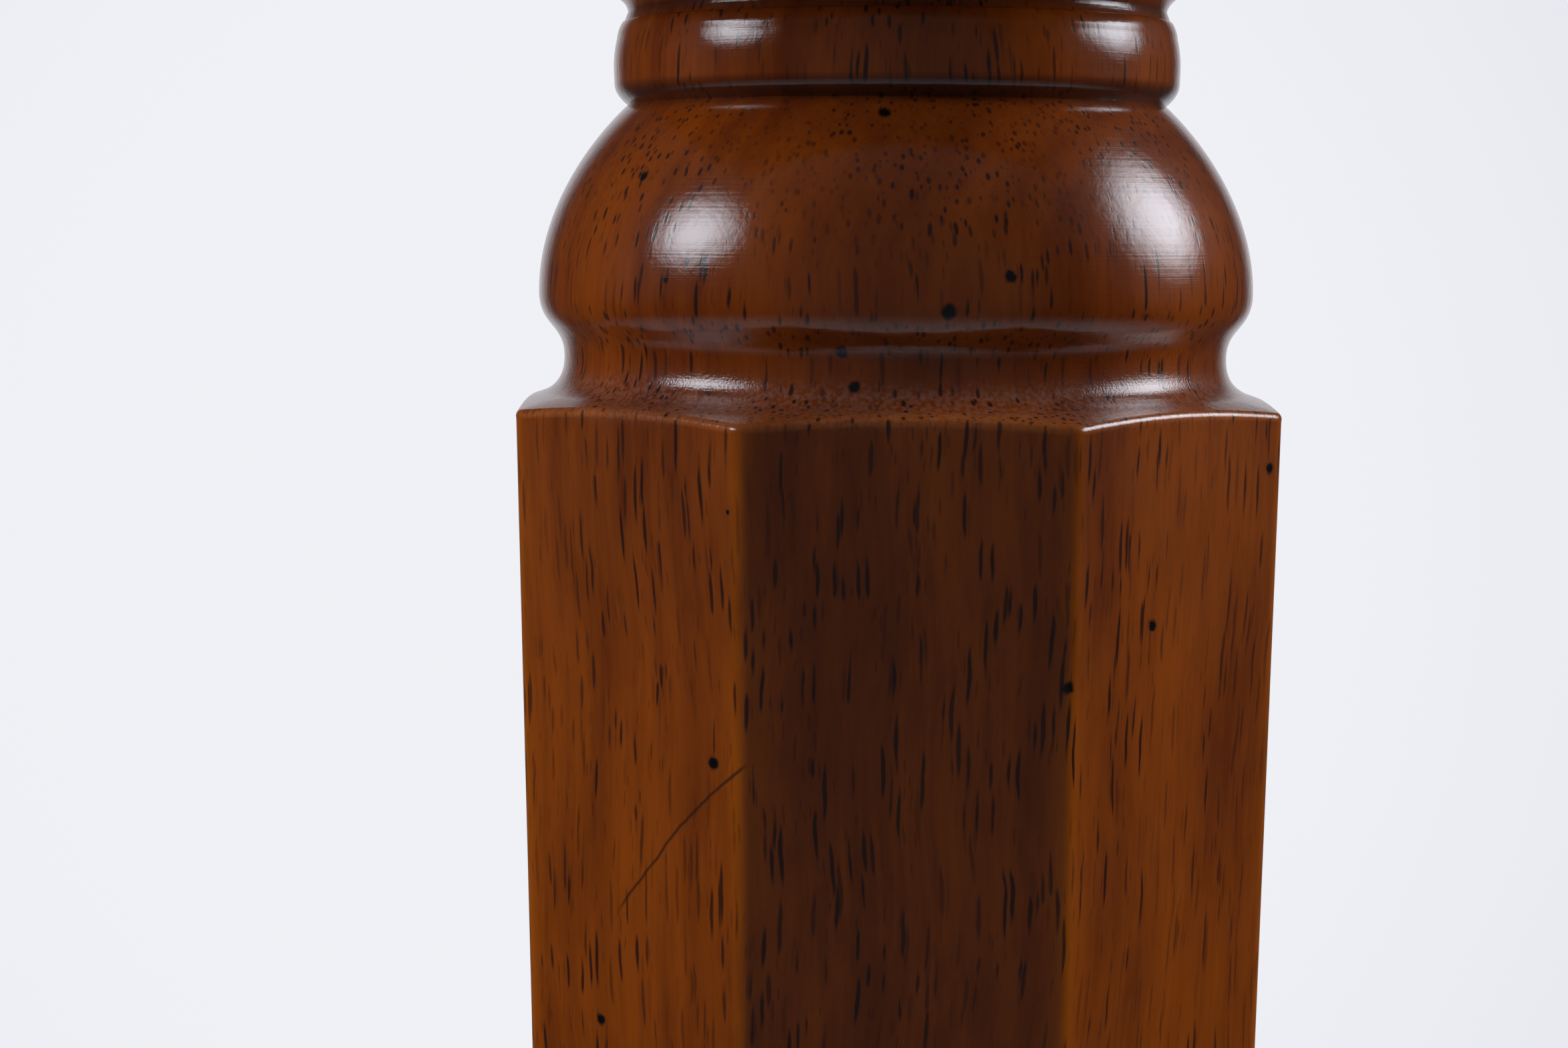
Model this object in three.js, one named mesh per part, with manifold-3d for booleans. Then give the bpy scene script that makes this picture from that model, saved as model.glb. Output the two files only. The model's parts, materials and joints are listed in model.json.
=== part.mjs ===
// A table leg: a square block, a turned neck, a tapered octagonal shaft and a turned foot, all one
// piece of wood, with the hanger bolts that fix it to a table and a screw-in levelling glide.
// Millimetres, +Z up. The origin is on the leg's axis, on the floor under the glide.
// The show face looks along -Y. The fixing corner of the block points along +X +Y.
import * as THREE from "three";
import { mergeVertices } from "three/addons/utils/BufferGeometryUtils.js";
import Module from "manifold-3d";

const wasm = await Module();
wasm.setup();

// ---- Driving dimensions ----

const legHeight = 720; // floor to the top of the block, with the glide screwed home
const gap = 0.3; // between pieces that touch or turn on each other

// The square blank that the leg is cut from
const blankSide = 70; // side of the block, and width over flats at the head of the octagon
const blockHeight = 110; // top of the leg to the turned shoulder, at the middle of a face
const blockCornerRadius = 2; // the block's sanded corners
const cornerFlatDepth = 9.5; // cut off the fixing corner, along the diagonal

// The octagon
const ankleWidth = 49; // width over flats at its lower end
const shoulderSlope = 0.24; // fall of each turned shoulder, per mm of radius

// The turned neck, as depths below the blank's flat face and heights above the octagon's shoulder
const neck = { depth: 3.55, height: 3.9 };
const bulb = { depth: 1.15, height: 10 };
const lowerGroove = { depth: 9.55, height: 27.5 };
const bead = { depth: 8.3, bottom: 29.6, top: 32.5 };
const quirk = { depth: 9, height: 34.6 };
const upperGroove = { depth: 9.6, height: 36.2 };
const flare = { depth: 4.5, height: 39.2 }; // where the block's shoulder begins

// The turned foot, as depths below the octagon's lower face and heights below its lower shoulder
const footHeight = 62; // wood below the octagon
const toeRadius = 18;
const toeChamfer = 1;
const swell = { depth: 1.2, drop: 20 };
const footGroove = { depth: 4, drop: 10.5 };
const footBead = { depth: 2.1, drop: 7.7 };
const ankle = { depth: 4, drop: 4.9 };
const ankleCove = { depth: 1.4, drop: 0.8 }; // where the cove runs out into the ankle's shoulder

// The hanger bolts: wood screw at one end, machine thread at the other
const boltRadius = 4;
const boltWoodRadius = 3.6;
const boltWoodLength = 38;
const boltMachineLength = 40;
const boltTip = 7;
const boltShoulder = { start: -4, end: -3.5 }; // where the wood screw swells into the shank
const boltChamfer = 0.8;
const pilotExtra = 2; // bored deeper than the wood screw's length
const boltDrops = { upper: 30, lower: 80 }; // below the top of the block
const plateRoom = 3; // left on each bolt for the table's corner plate
const washer = { radius: 8, thickness: 1.6 };
const wingNut = { baseRadius: 7.5, topRadius: 6, height: 9, span: 36, rise: 17, wall: 2.6 };

// The levelling glide
const felt = { radius: 11.7, thickness: 3, recess: 1.2 };
const glide = { rimWall: 1, height: 7.2, edge: 1.5 };
const collar = { acrossFlats: 13, height: 4, clearance: 0.7 };
const stud = { radius: 4, length: 30, neckRadius: 3, headRadius: 4.6, headHeight: 1.6 };
const insert = { radius: 6.3, length: 18, flangeRadius: 8.5, flange: 1.2, socket: 10, socketDepth: 5 };
const boreEnd = 5; // empty bore above the stud when it is screwed home

const overrun = 1; // how far a cutting tool starts outside the piece it cuts

// How finely curves are cut up
const postSegments = 40;
const hardwareSegments = 32;
const curveSteps = 5;

// ---- Places that follow from them ----

const halfBlank = blankSide / 2;
const halfAnkle = ankleWidth / 2;
const stockRadius = blankSide * 0.75; // outside every corner of the blank
const glideBottom = felt.thickness - felt.recess;
const glideTop = glideBottom + glide.height;
const glideRadius = felt.radius + gap + glide.rimWall;
const webBottom = felt.thickness + gap;
const collarBottom = glideTop + gap;
const collarTop = collarBottom + collar.height;
const woodBottom = collarTop + collar.clearance;
const ankleShoulder = woodBottom + footHeight;
const flareToBlock = flare.depth * shoulderSlope;
const headShoulder = legHeight - blockHeight - flareToBlock - flare.height;
const flatDistance = halfBlank * Math.SQRT2 - cornerFlatDepth; // axis to the fixing corner's flat
const boltBore = boltRadius + gap;

// ---- Small tools ----

// A closed three.js geometry as a manifold-3d solid.
function solidOf(geometry) {
  const bare = new THREE.BufferGeometry();
  bare.setAttribute("position", geometry.getAttribute("position"));
  bare.setIndex(geometry.getIndex());
  const merged = mergeVertices(bare, 1e-4);
  const mesh = new wasm.Mesh({
    numProp: 3,
    vertProperties: merged.attributes.position.array,
    triVerts: new Uint32Array(merged.index.array),
  });
  return new wasm.Manifold(mesh);
}

// A manifold-3d solid as a flat-shaded three.js geometry.
function geometryOf(solid) {
  const mesh = solid.getMesh();
  const indexed = new THREE.BufferGeometry();
  indexed.setAttribute("position", new THREE.BufferAttribute(mesh.vertProperties, 3));
  indexed.setIndex(new THREE.BufferAttribute(mesh.triVerts, 1));
  const geometry = indexed.toNonIndexed();
  geometry.computeVertexNormals();
  return geometry;
}

// Turns a list of [radius, height] points about Z. The list runs upwards on the outside.
function turned(points, segments, start = 0) {
  const profile = points.map(([r, z]) => new THREE.Vector2(r, z));
  const geometry = new THREE.LatheGeometry(profile, segments, start);
  return geometry.rotateX(Math.PI / 2);
}

// A ring with a rectangular section.
function ring(inner, outer, low, high, segments = hardwareSegments) {
  const section = [[inner, low], [outer, low], [outer, high], [inner, high], [inner, low]];
  return turned(section, segments);
}

function cylinder(radius, low, high, segments = hardwareSegments) {
  return turned([[0, low], [radius, low], [radius, high], [0, high]], segments);
}

// A hexagonal prism about Z, two of its flats square to Y.
function hexagon(acrossFlats, low, high) {
  return cylinder(acrossFlats / Math.sqrt(3), low, high, 6);
}

// Points of a cubic curve without its first one, each as [radius, height].
function curve(from, handleA, handleB, to) {
  const vectors = [from, handleA, handleB, to].map(([r, z]) => new THREE.Vector2(r, z));
  const points = new THREE.CubicBezierCurve(...vectors).getPoints(curveSteps);
  return points.slice(1).map((p) => [p.x, p.y]);
}

// Places a piece made along +Z onto the fixing corner, at a drop below the top of the block.
// Its +Z then runs outwards along the block's diagonal, starting on the corner's flat.
function placeOnCorner(object, drop) {
  const along = flatDistance * Math.SQRT1_2;
  object.rotation.set(0, Math.PI / 2, Math.PI / 4, "ZYX");
  object.position.set(along, along, legHeight - drop);
  object.updateMatrix();
  return object;
}

// ---- The wooden post ----

// Radius and height of a point on the foot, from its depth and drop.
function onFoot({ depth, drop }) {
  return [halfAnkle - depth, ankleShoulder - drop];
}

// The foot's outline, from the toe up to where the ankle's shoulder leaves the cove.
function footOutline() {
  const toe = [toeRadius, woodBottom + toeChamfer];
  const widest = onFoot(swell);
  const groove = onFoot(footGroove);
  const beadTop = onFoot(footBead);
  const waist = onFoot(ankle);
  const coveEnd = onFoot(ankleCove);
  return [
    [0, woodBottom],
    [toeRadius - toeChamfer, woodBottom],
    toe,
    ...curve(toe, [toe[0] + 0.8, toe[1] + 15], [widest[0], widest[1] - 13], widest),
    ...curve(widest, [widest[0], widest[1] + 5], [groove[0] + 1.6, groove[1] - 1.5], groove),
    ...curve(groove, [groove[0] + 1, groove[1]], [beadTop[0], beadTop[1] - 1.6], beadTop),
    ...curve(beadTop, [beadTop[0], beadTop[1] + 1.6], [waist[0] + 1, waist[1]], waist),
    ...curve(waist, [waist[0], waist[1] + 2.4], [waist[0] + 0.9, coveEnd[1] - 0.5], coveEnd),
  ];
}

// Radius and height of a point on the neck, from its depth and height.
function onNeck({ depth, height }) {
  return [halfBlank - depth, headShoulder + height];
}

// The neck's outline, from the octagon's shoulder up to the block's shoulder.
function neckOutline() {
  const coveStart = [halfBlank, headShoulder];
  const waist = onNeck(neck);
  const widest = onNeck(bulb);
  const groove = onNeck(lowerGroove);
  const beadLow = onNeck({ depth: bead.depth, height: bead.bottom });
  const beadHigh = onNeck({ depth: bead.depth, height: bead.top });
  const step = onNeck(quirk);
  const topGroove = onNeck(upperGroove);
  const flareEnd = onNeck(flare);
  const flareHandle = [flareEnd[0] - 3.3, flareEnd[1] - 0.9];
  return [
    coveStart,
    ...curve(coveStart, [coveStart[0] - 2.3, coveStart[1] + 0.6], [waist[0], waist[1] - 2.4], waist),
    ...curve(waist, [waist[0], waist[1] + 3], [widest[0], widest[1] - 3.3], widest),
    ...curve(widest, [widest[0], widest[1] + 8.3], [groove[0] + 2.75, groove[1] - 2.5], groove),
    ...curve(groove, [groove[0] + 0.7, groove[1] + 0.6], [beadLow[0], beadLow[1] - 0.9], beadLow),
    beadHigh,
    ...curve(beadHigh, [beadHigh[0], beadHigh[1] + 1.1], [step[0] + 0.4, step[1] - 0.5], step),
    [step[0] - 0.15, step[1]],
    topGroove,
    ...curve(topGroove, [topGroove[0] + 0.15, topGroove[1] + 1.3], flareHandle, flareEnd),
  ];
}

// Everything that the lathe leaves: the foot and the neck, and full stock where flats are left.
function turnedEnvelope() {
  const foot = footOutline();
  const neckPoints = neckOutline();
  const [footR, footZ] = foot.at(-1);
  const [coveR, coveZ] = neckPoints[0];
  const [flareR, flareZ] = neckPoints.at(-1);
  return turned(
    [
      ...foot,
      [stockRadius, footZ + (stockRadius - footR) * shoulderSlope],
      [stockRadius, coveZ - (stockRadius - coveR) * shoulderSlope],
      ...neckPoints,
      [stockRadius, flareZ + (stockRadius - flareR) * shoulderSlope],
      [stockRadius, legHeight],
      [0, legHeight],
    ],
    postSegments,
  );
}

// The octagonal stock: parallel over the foot and the neck, tapered between the shoulders.
function octagonalStock() {
  const toCorner = 1 / Math.cos(Math.PI / 8);
  const top = headShoulder + bulb.height;
  const outline = [
    [0, woodBottom],
    [halfAnkle * toCorner, woodBottom],
    [halfAnkle * toCorner, ankleShoulder],
    [halfBlank * toCorner, headShoulder],
    [halfBlank * toCorner, top],
    [0, top],
  ];
  return turned(outline, 8, Math.PI / 8);
}

// The square stock, which the bulb, the bead and the block are left in.
function squareStock() {
  const flat = halfBlank - blockCornerRadius;
  const outline = new THREE.Shape();
  outline.absarc(flat, flat, blockCornerRadius, 0, Math.PI / 2);
  outline.absarc(-flat, flat, blockCornerRadius, Math.PI / 2, Math.PI);
  outline.absarc(-flat, -flat, blockCornerRadius, Math.PI, 1.5 * Math.PI);
  outline.absarc(flat, -flat, blockCornerRadius, 1.5 * Math.PI, 2 * Math.PI);
  const low = headShoulder + bulb.height;
  const options = { depth: legHeight - low, bevelEnabled: false, curveSegments: 4 };
  return new THREE.ExtrudeGeometry(outline, options).translate(0, 0, low);
}

// What is cut off the fixing corner of the block, all the way down its turned shoulder.
function cornerCut() {
  const height = 2 * blockHeight;
  const cut = new THREE.BoxGeometry(height, blankSide, blankSide).translate(0, 0, halfBlank);
  const place = placeOnCorner(new THREE.Object3D(), 0);
  return cut.applyMatrix4(place.matrix);
}

function pilotHole(drop) {
  const depth = boltWoodLength + pilotExtra;
  const place = placeOnCorner(new THREE.Object3D(), drop);
  return cylinder(boltBore, -depth, overrun).applyMatrix4(place.matrix);
}

// The bore for the insert and the stud, and the seat of the insert's flange.
function toeBore() {
  const flangeTop = woodBottom + insert.flange + gap;
  const insertTop = woodBottom + insert.length + gap;
  const studTop = collarTop + stud.length + boreEnd;
  const outline = [
    [0, woodBottom - overrun],
    [insert.flangeRadius + gap, woodBottom - overrun],
    [insert.flangeRadius + gap, flangeTop],
    [insert.radius + gap, flangeTop],
    [insert.radius + gap, insertTop],
    [stud.radius + 2 * gap, insertTop],
    [stud.radius + 2 * gap, studTop],
    [0, studTop],
  ];
  return turned(outline, hardwareSegments);
}

function legPost() {
  const stock = solidOf(octagonalStock()).add(solidOf(squareStock()));
  const cuts = [cornerCut(), toeBore(), pilotHole(boltDrops.upper), pilotHole(boltDrops.lower)];
  let post = solidOf(turnedEnvelope()).intersect(stock);
  for (const cut of cuts) post = post.subtract(solidOf(cut));
  return geometryOf(post);
}

// ---- The hanger bolts, washers and wing nuts, each along +Z from the corner's flat ----

function hangerBolt() {
  const outline = [
    [0, -boltWoodLength],
    [boltWoodRadius, boltTip - boltWoodLength],
    [boltWoodRadius, boltShoulder.start],
    [boltRadius, boltShoulder.end],
    [boltRadius, boltMachineLength - boltChamfer],
    [boltRadius - boltChamfer, boltMachineLength],
    [0, boltMachineLength],
  ];
  return turned(outline, hardwareSegments);
}

function boltWasher() {
  const bottom = plateRoom + gap;
  return ring(boltBore, washer.radius, bottom, bottom + washer.thickness);
}

// A wing: an ear that leans out of the hub, as a plate in the XZ plane.
function wing() {
  const { baseRadius, topRadius, height, span, rise, wall } = wingNut;
  const tip = span / 2;
  const ear = new THREE.Shape();
  ear.moveTo(topRadius - 1, 1);
  ear.lineTo(baseRadius - 0.5, 1);
  ear.bezierCurveTo(tip * 0.6, 3, tip, rise * 0.35, tip, rise * 0.75);
  ear.bezierCurveTo(tip, rise, tip * 0.7, rise * 1.08, tip * 0.62, rise * 0.85);
  ear.bezierCurveTo(tip * 0.52, rise * 0.6, topRadius, height, topRadius - 1, height - 0.5);
  const options = { depth: wall, bevelEnabled: false, curveSegments: 6 };
  return new THREE.ExtrudeGeometry(ear, options).translate(0, 0, -wall / 2).rotateX(Math.PI / 2);
}

function boltWingNut() {
  const bottom = plateRoom + 2 * gap + washer.thickness;
  const hub = turned(
    [[0, 0], [wingNut.baseRadius, 0], [wingNut.topRadius, wingNut.height], [0, wingNut.height]],
    hardwareSegments,
  );
  const ears = solidOf(wing()).add(solidOf(wing().rotateZ(Math.PI)));
  const bore = solidOf(cylinder(boltBore, -overrun, wingNut.rise + overrun));
  return geometryOf(solidOf(hub).add(ears).subtract(bore)).translate(0, 0, bottom);
}

// ---- The levelling glide ----

function footInsert() {
  const bottom = woodBottom;
  const flangeTop = bottom + insert.flange;
  const top = bottom + insert.length;
  const bore = stud.radius + gap;
  const outline = [
    [bore, bottom],
    [insert.flangeRadius, bottom],
    [insert.flangeRadius, flangeTop],
    [insert.radius, flangeTop],
    [insert.radius, top],
    [bore, top],
    [bore, bottom],
  ];
  const socket = hexagon(insert.socket, bottom - overrun, bottom + insert.socketDepth);
  return geometryOf(solidOf(turned(outline, hardwareSegments)).subtract(solidOf(socket)));
}

function levellingStud() {
  const headBottom = webBottom + gap;
  const headTop = headBottom + stud.headHeight;
  const top = collarTop + stud.length;
  const collarMiddle = (collarBottom + collarTop) / 2; // the neck and the thread meet inside it
  const outline = [
    [0, headBottom],
    [stud.headRadius, headBottom],
    [stud.headRadius, headTop],
    [stud.neckRadius, headTop],
    [stud.neckRadius, collarMiddle],
    [stud.radius, collarMiddle],
    [stud.radius, top - boltChamfer],
    [stud.radius - boltChamfer, top],
    [0, top],
  ];
  const shaft = solidOf(turned(outline, hardwareSegments));
  return geometryOf(shaft.add(solidOf(hexagon(collar.acrossFlats, collarBottom, collarTop))));
}

// The base: a disc with a rim round the felt, bored for the stud's neck and its riveted head.
function glideBase() {
  const neckBore = stud.neckRadius + gap;
  const headBore = stud.headRadius + gap;
  const headTop = webBottom + stud.headHeight + 2 * gap;
  const rimInner = felt.radius + gap;
  const outline = [
    [headBore, webBottom],
    [rimInner, webBottom],
    [rimInner, glideBottom],
    [glideRadius, glideBottom],
    [glideRadius, glideTop - glide.edge],
    [glideRadius - glide.edge, glideTop],
    [neckBore, glideTop],
    [neckBore, headTop],
    [headBore, headTop],
    [headBore, webBottom],
  ];
  return turned(outline, hardwareSegments);
}

function glideFelt() {
  return cylinder(felt.radius, 0, felt.thickness);
}

// ---- The leg ----

const wood = new THREE.MeshStandardMaterial({ color: 0x6e3210, roughness: 0.3, metalness: 0 });
const zinc = new THREE.MeshStandardMaterial({ color: 0xb9b8b2, roughness: 0.35, metalness: 1 });
const nylon = new THREE.MeshStandardMaterial({ color: 0x2b2422, roughness: 0.5, metalness: 0 });
const wool = new THREE.MeshStandardMaterial({ color: 0x5b4636, roughness: 0.95, metalness: 0 });

function piece(name, geometry, material) {
  const mesh = new THREE.Mesh(geometry, material);
  mesh.name = name;
  return mesh;
}

const leg = new THREE.Group();
leg.add(piece("leg_post", legPost(), wood));
leg.add(piece("foot_insert", footInsert(), zinc));
leg.add(piece("levelling_stud", levellingStud(), zinc));
leg.add(piece("glide_base", glideBase(), nylon));
leg.add(piece("glide_felt", glideFelt(), wool));
for (const [place, drop] of Object.entries(boltDrops)) {
  const corner = placeOnCorner(new THREE.Group(), drop);
  corner.add(piece(`hanger_bolt_${place}`, hangerBolt(), zinc));
  corner.add(piece(`bolt_washer_${place}`, boltWasher(), zinc));
  corner.add(piece(`wing_nut_${place}`, boltWingNut(), zinc));
  leg.add(corner);
}

export default leg;
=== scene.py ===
"""A turned and octagonal table leg with its hanger bolts and levelling glide.

Metres, +Z up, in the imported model's own frame. Outlines are written in millimetres.
"""

import json
import math

import bmesh
import bpy
import numpy as np
from mathutils import Matrix, Vector


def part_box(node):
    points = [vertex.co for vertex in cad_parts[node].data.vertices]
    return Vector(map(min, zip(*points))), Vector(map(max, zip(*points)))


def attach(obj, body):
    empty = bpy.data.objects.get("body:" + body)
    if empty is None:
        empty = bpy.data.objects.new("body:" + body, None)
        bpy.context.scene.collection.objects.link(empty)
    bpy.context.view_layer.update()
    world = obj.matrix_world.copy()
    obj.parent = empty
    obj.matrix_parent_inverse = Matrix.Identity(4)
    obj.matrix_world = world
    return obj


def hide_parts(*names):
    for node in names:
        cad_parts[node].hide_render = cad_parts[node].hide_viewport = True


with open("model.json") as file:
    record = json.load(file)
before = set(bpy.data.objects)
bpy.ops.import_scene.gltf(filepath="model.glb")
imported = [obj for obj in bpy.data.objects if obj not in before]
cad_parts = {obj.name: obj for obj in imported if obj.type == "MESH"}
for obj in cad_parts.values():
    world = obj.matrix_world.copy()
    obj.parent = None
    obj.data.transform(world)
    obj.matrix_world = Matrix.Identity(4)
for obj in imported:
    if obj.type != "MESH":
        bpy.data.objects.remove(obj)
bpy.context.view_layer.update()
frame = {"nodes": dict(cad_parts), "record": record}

MM = 0.001

# ---- Places read from the frame, in millimetres ----

post_low, post_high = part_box("leg_post")
HALF_BLANK = post_high.x / MM
WOOD_BOTTOM = post_low.z / MM
LEG_TOP = post_high.z / MM
corner_mount = next(m for m in frame["record"]["mounts"] if m["name"] == "corner_plate_face")
CORNER_FLAT = math.hypot(corner_mount["pos_m"][0], corner_mount["pos_m"][1]) / MM

# ---- The leg's own sizes, in millimetres ----

BLOCK_HEIGHT = 110
BLOCK_ROUNDING = 2  # of the block's upright corners
HALF_ANKLE = 24.5  # half the width over flats at the octagon's lower end
SLOPE = 0.24  # fall of each turned shoulder, per mm of radius
FOOT_HEIGHT = 62  # of the wood below the octagon
ARRIS = 0.06  # rounding of the octagon's arrises, as a share of half its width
EDGE = 0.7  # rounding where a turned shoulder meets the flats
TOP_EDGE = 1.0  # rounding of the block's upper edge
GAP = 0.3  # clearance between fitted pieces
BOLT_BORE = 4.3  # radius of the pilot holes, and of the holes in the washers and wing nuts
PILOT_EXTRA = 2  # bored deeper than the bolt's tip
OVERRUN = 2  # of a drill past the face that it enters

# The blind bore in the toe
STUD_BORE = 4.6  # radius over the stud
STUD_BORE_EXTRA = 5  # bored higher than the stud reaches when it is screwed home
INSERT_BORE = 6.6  # radius round the insert
FLANGE_SEAT = 1.5  # depth of the seat for the insert's flange

# The turned neck: depth below the blank's flat face, and height above the octagon's shoulder
NECK = (3.55, 3.9)
BULB = (1.15, 10.0)
LOWER_GROOVE = (9.55, 27.5)
BEAD_LOW = (8.3, 29.6)
BEAD_HIGH = (8.3, 32.5)
QUIRK = (9.05, 35.2)
UPPER_GROOVE = (9.6, 36.2)
FLARE = (4.5, 39.2)

# The turned foot: depth below the octagon's lower face, and drop below its lower shoulder
COVE_END = (1.4, 0.8)
ANKLE = (4.0, 4.9)
FOOT_BEAD = (2.1, 7.7)
FOOT_GROOVE = (4.0, 10.5)
SWELL = (1.2, 20.0)
TOE_RADIUS = 18
TOE_CHAMFER = 1

ANKLE_SHOULDER = WOOD_BOTTOM + FOOT_HEIGHT
HEAD_SHOULDER = LEG_TOP - BLOCK_HEIGHT - FLARE[0] * SLOPE - FLARE[1]

# ---- Mesh tools ----


def polygon_radius(angles, apothem, sides, rounding):
    """Distance from the axis to a regular polygon with rounded corners, one face square to +X."""
    half = math.pi / sides
    from_face = np.abs((angles + half) % (2 * half) - half)
    centre = (apothem - rounding) / math.cos(half)
    tangent = math.atan((apothem - rounding) * math.tan(half) / apothem)
    from_corner = half - from_face
    inside = np.maximum(rounding**2 - (centre * np.sin(from_corner)) ** 2, 0)
    arc = centre * np.cos(from_corner) + np.sqrt(inside)
    return np.where(from_face <= tangent, apothem / np.cos(from_face), arc)


def soft_min(a, b, width):
    """The smaller of two lengths, blended over a width where they are nearly equal."""
    share = np.clip(0.5 + 0.5 * (b - a) / width, 0, 1)
    return b + (a - b) * share - width * share * (1 - share)


def curve(start, handle_a, handle_b, end, steps):
    """Points of a cubic curve without its first one."""
    t = np.linspace(0, 1, steps + 1)[1:, None]
    a, b, c, d = (np.array(p, float) for p in (start, handle_a, handle_b, end))
    points = (1 - t) ** 3 * a + 3 * (1 - t) ** 2 * t * b + 3 * (1 - t) * t**2 * c + t**3 * d
    return [tuple(p) for p in points]


def fillet(before, corner, after, radius, steps):
    """Rings of an arc that rounds a corner. Each argument is a pair of arrays, r and z."""
    before, corner, after = (np.stack(p, -1) for p in (before, corner, after))
    u = before - corner
    v = after - corner
    u /= np.linalg.norm(u, axis=-1, keepdims=True)
    v /= np.linalg.norm(v, axis=-1, keepdims=True)
    half_angle = np.arccos(np.clip((u * v).sum(-1), -1, 1))[:, None] / 2
    middle = u + v
    middle /= np.linalg.norm(middle, axis=-1, keepdims=True)
    centre = corner + middle * radius / np.sin(half_angle)
    first = corner + u * radius / np.tan(half_angle) - centre
    last = corner + v * radius / np.tan(half_angle) - centre
    rings = []
    for t in np.linspace(0, 1, steps + 1):
        spoke = first * (1 - t) + last * t
        spoke *= radius / np.linalg.norm(spoke, axis=-1, keepdims=True)
        point = centre + spoke
        rings.append((point[:, 0], point[:, 1]))
    return rings


def ring_mesh(name, angles, rings, loop=False, placed=None):
    """A closed mesh from rings of (r, z) about Z. A first or last ring with r = 0 is a pole."""
    count = len(angles)
    vertices, rows = [], []
    for r, z in rings:
        if np.max(r) == 0:
            rows.append([len(vertices)] * count)
            vertices.append((0, 0, float(np.mean(z)) * MM))
            continue
        rows.append(list(range(len(vertices), len(vertices) + count)))
        x = r * np.cos(angles) * MM
        y = r * np.sin(angles) * MM
        vertices += list(zip(x, y, np.broadcast_to(z, x.shape) * MM))
    faces = []
    pairs = list(zip(rows, rows[1:])) + ([(rows[-1], rows[0])] if loop else [])
    for low, high in pairs:
        for i in range(count):
            j = (i + 1) % count
            face = [low[i], low[j], high[j], high[i]]
            faces.append([v for k, v in enumerate(face) if v != face[k - 1]])
    mesh = bpy.data.meshes.new(name)
    mesh.from_pydata(vertices, [], faces)
    mesh.validate()
    if placed is not None:
        mesh.transform(placed)
    made = bpy.data.objects.new(name, mesh)
    bpy.context.scene.collection.objects.link(made)
    mesh.shade_smooth()
    return made


def even_angles(count):
    return np.linspace(0, 2 * math.pi, count, endpoint=False)


def level_rings(angles, points):
    """Round and level rings from points of (radius, height)."""
    return [(np.full(len(angles), float(r)), np.full(len(angles), float(z))) for r, z in points]


def turned(name, points, count=96, loop=False, placed=None):
    angles = even_angles(count)
    return ring_mesh(name, angles, level_rings(angles, points), loop, placed)


def rounded(points, radius, steps=4, closed=False):
    """An outline with its corners rounded, less so where a side is short."""
    out = []
    last = len(points) - 1
    for i, corner in enumerate(points):
        if not closed and i in (0, last):
            out.append(corner)
            continue
        before, after = points[i - 1], points[(i + 1) % len(points)]
        sides = (math.dist(before, corner), math.dist(after, corner))
        size = min(radius, 0.45 * min(sides))
        triple = [(np.array([p[0]], float), np.array([p[1]], float)) for p in (before, corner, after)]
        out += [(float(r[0]), float(z[0])) for r, z in fillet(*triple, size, steps)]
    return out


def apply_modifiers(piece):
    graph = bpy.context.evaluated_depsgraph_get()
    mesh = bpy.data.meshes.new_from_object(piece.evaluated_get(graph))
    piece.modifiers.clear()
    piece.data = mesh


def bore(piece, radius, low, high, placed=None):
    """Cuts a round hole about Z, or about the Z of a given place."""
    outline = [(0, low), (radius, low), (radius, high), (0, high)]
    drill = turned("drill", outline, 48, placed=placed)
    cut = piece.modifiers.new("bore", "BOOLEAN")
    cut.object = drill
    cut.operation = "DIFFERENCE"
    cut.solver = "EXACT"
    apply_modifiers(piece)
    bpy.data.objects.remove(drill)


def corner_place(node_name):
    """The matrix that puts a piece made along +Z onto its bolt, at the corner's flat."""
    low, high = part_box(node_name)
    x, y, _ = corner_mount["pos_m"]
    turn = Matrix.Rotation(math.pi / 4, 4, "Z") @ Matrix.Rotation(math.pi / 2, 4, "Y")
    return Matrix.Translation((x, y, (low.z + high.z) / 2)) @ turn


def along_corner(node_name):
    """How far a node starts and ends from the corner's flat, outwards, in millimetres."""
    outwards = Vector(corner_mount["axis"])
    flat = Vector(corner_mount["pos_m"]).dot(outwards)
    places = [v.co.dot(outwards) - flat for v in frame["nodes"][node_name].data.vertices]
    return min(places) / MM, max(places) / MM


# ---- The wooden post ----


def post_angles():
    """Angles of the post's columns: close together at the octagon's and the block's corners."""
    octagon_tangent = math.pi / 8 - math.atan((1 - ARRIS) * math.tan(math.pi / 8))
    block_tangent = math.pi / 4 - math.atan((HALF_BLANK - BLOCK_ROUNDING) / HALF_BLANK)
    flat_end = CORNER_FLAT * math.sqrt(2) - HALF_BLANK
    flat_edge = math.acos(CORNER_FLAT / math.hypot(HALF_BLANK, flat_end))
    angles = []
    for corner in range(8):
        arris = math.pi / 8 + corner * math.pi / 4
        shares = (0.25, 0.5, 0.75, 1, 1.3)
        angles += [arris] + [arris + side * share * octagon_tangent for share in shares for side in (-1, 1)]
        angles += [arris + math.radians(d) for d in (4, 7.5, 11.5, 15, 18.5, 26.5, 30, 33.5, 37.5, 41)]
    for corner in range(4):
        edge = math.pi / 4 + corner * math.pi / 2
        shares = (0.2, 0.6, 1, 1.3)
        angles += [edge + side * share * block_tangent for share in shares for side in (-1, 1)]
    for off in (-0.7, -0.25, 0, 0.25, 0.7):
        reach = flat_edge + math.radians(off)
        angles += [math.pi / 4 - reach, math.pi / 4 + reach]
    return np.unique(np.round(np.array(angles) % (2 * math.pi), 5))


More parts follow.
